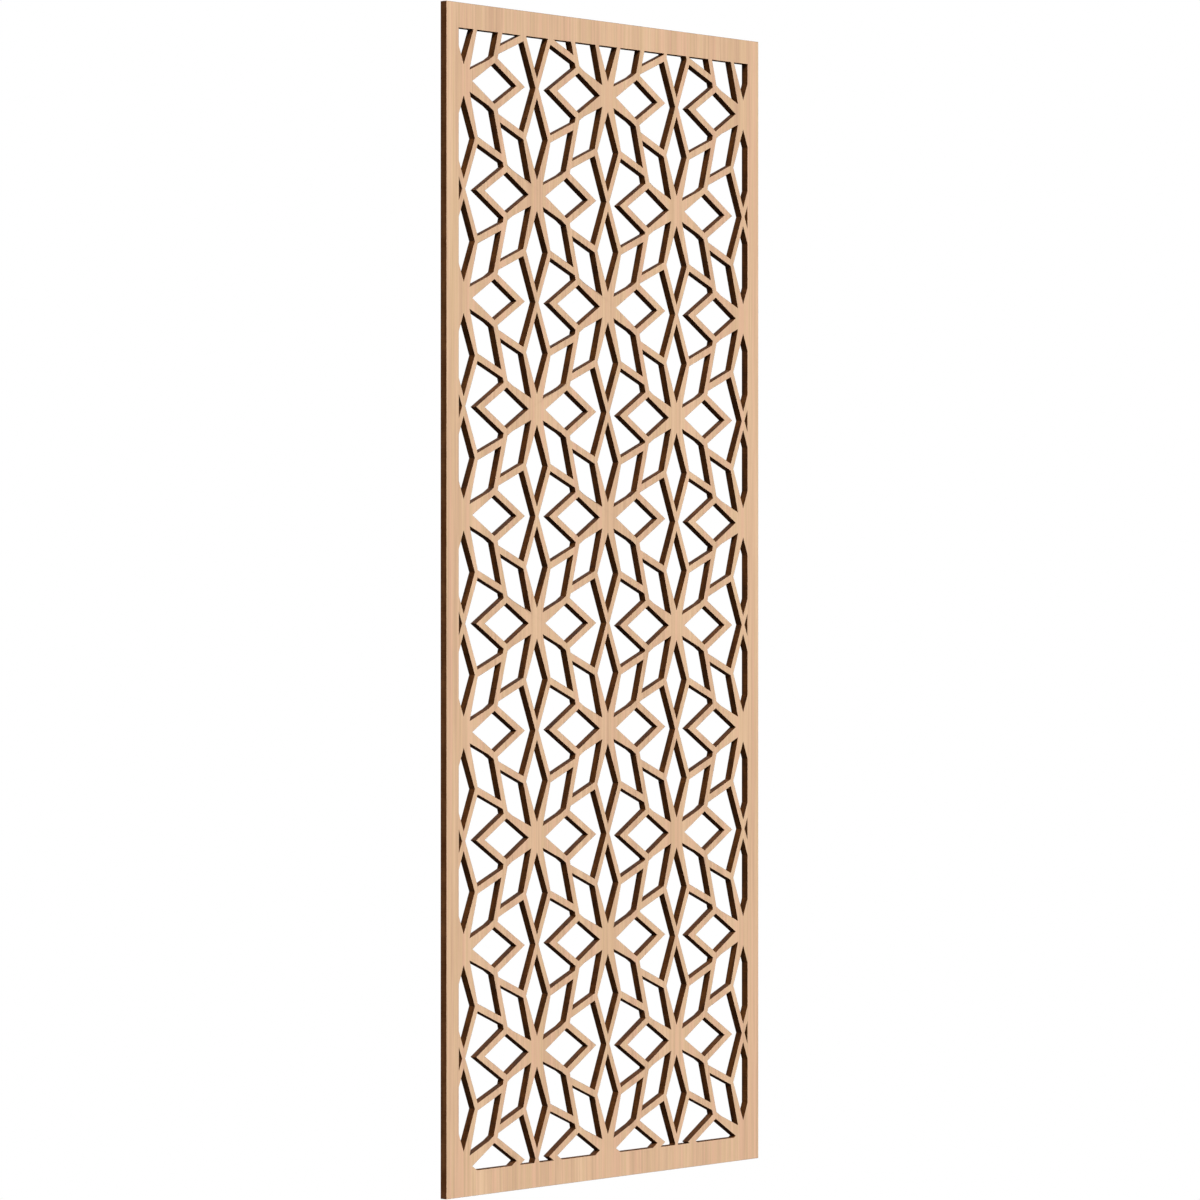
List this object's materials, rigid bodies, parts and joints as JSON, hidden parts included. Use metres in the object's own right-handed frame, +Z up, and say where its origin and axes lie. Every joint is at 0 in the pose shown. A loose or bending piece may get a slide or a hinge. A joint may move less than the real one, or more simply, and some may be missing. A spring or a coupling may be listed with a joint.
{
  "type": "fretwork wall panel",
  "caption": "Tall flat wooden wall panel, sawn through in a lattice of eight-armed stars with diamonds, petals and arrow shaped openings inside a plain border.",
  "frame": {"origin": "on the flat back, at the middle of the top border", "axes": "+Z up along the panel's height, +X to the right seen from the front, +Y out of the back towards the wall, so the front faces -Y"},
  "size_m": [0.5936, 0.01, 1.4828],
  "materials": {
    "wood": "bare pale wood with fine upright grain, and dark scorched walls in every cut"
  },
  "bodies": {
    "root": {"fretwork_panel": "wood"}
  },
  "joints": []
}
